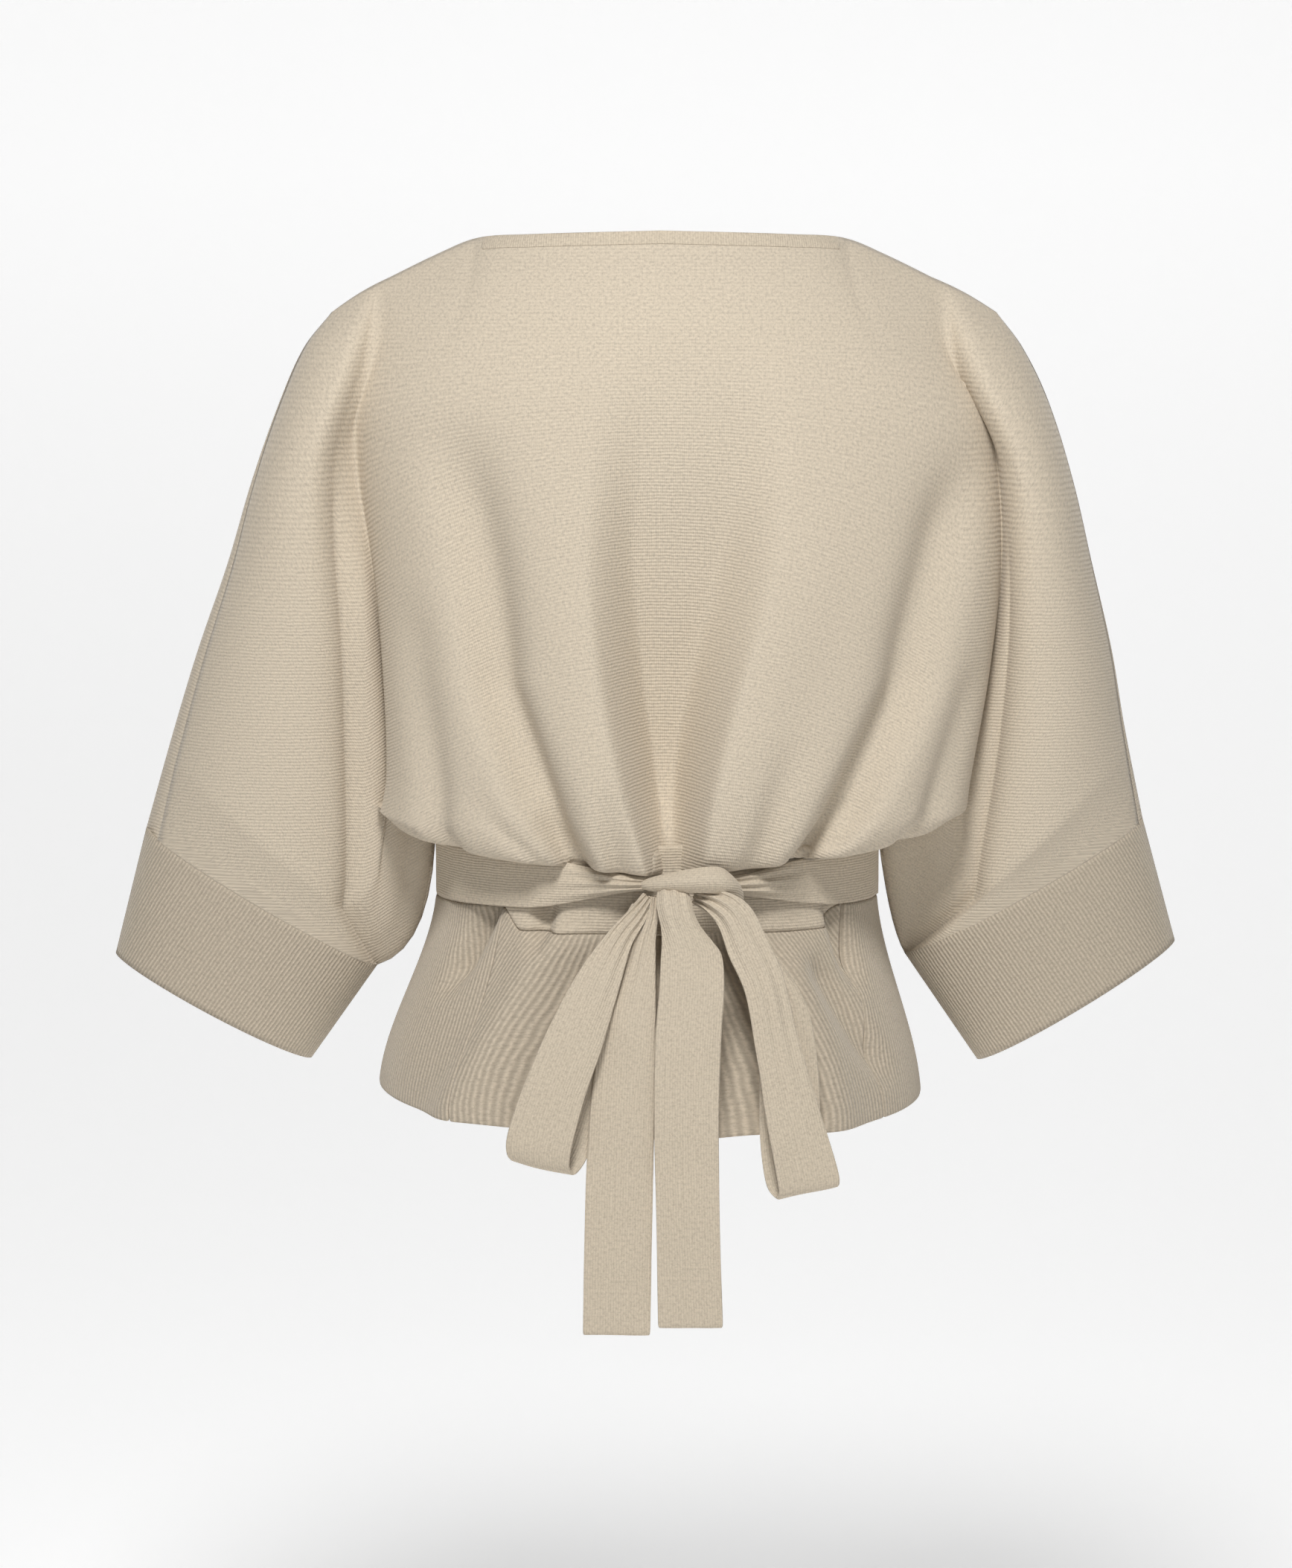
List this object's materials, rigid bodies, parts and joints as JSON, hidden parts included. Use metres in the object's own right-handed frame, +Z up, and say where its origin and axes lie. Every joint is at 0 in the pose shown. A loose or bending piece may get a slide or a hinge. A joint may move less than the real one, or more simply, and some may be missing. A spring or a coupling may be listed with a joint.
{
  "type": "wrap cardigan",
  "caption": "Fine-knit wrap cardigan with wide sleeves cut in one with the body, ribbed cuffs and peplum, and a tie knotted in a bow at the back; hollow, filled out as if worn.",
  "frame": {"origin": "midway between the neck points of the two shoulders, where a wearer holds it up", "axes": "+Z up, -Y the way the wearer's back faces, +Y the way the front faces, +X the wearer's right"},
  "size_m": [0.6656, 0.282, 0.6554],
  "materials": {
    "knit": "matt fine plain knit",
    "rib": "matt fine rib knit",
    "tie": "matt fine knit with crosswise lines",
    "trim": "matt narrow rib"
  },
  "bodies": {
    "root": {"back_panel": "knit", "front_panel_right": "knit", "front_panel_left": "knit", "neck_trim": "trim", "front_trim_right": "trim", "front_trim_left": "trim", "cuff_left": "rib", "cuff_right": "rib", "waistband_back": "tie", "waistband_right": "tie", "waistband_left": "tie", "peplum_back": "rib", "peplum_right": "rib", "peplum_left": "rib", "tie_left": "tie", "tie_right": "tie", "bow_knot": "tie", "bow_loop_left": "tie", "bow_loop_right": "tie", "tail_left": "tie", "tail_right": "tie"}
  },
  "joints": []
}
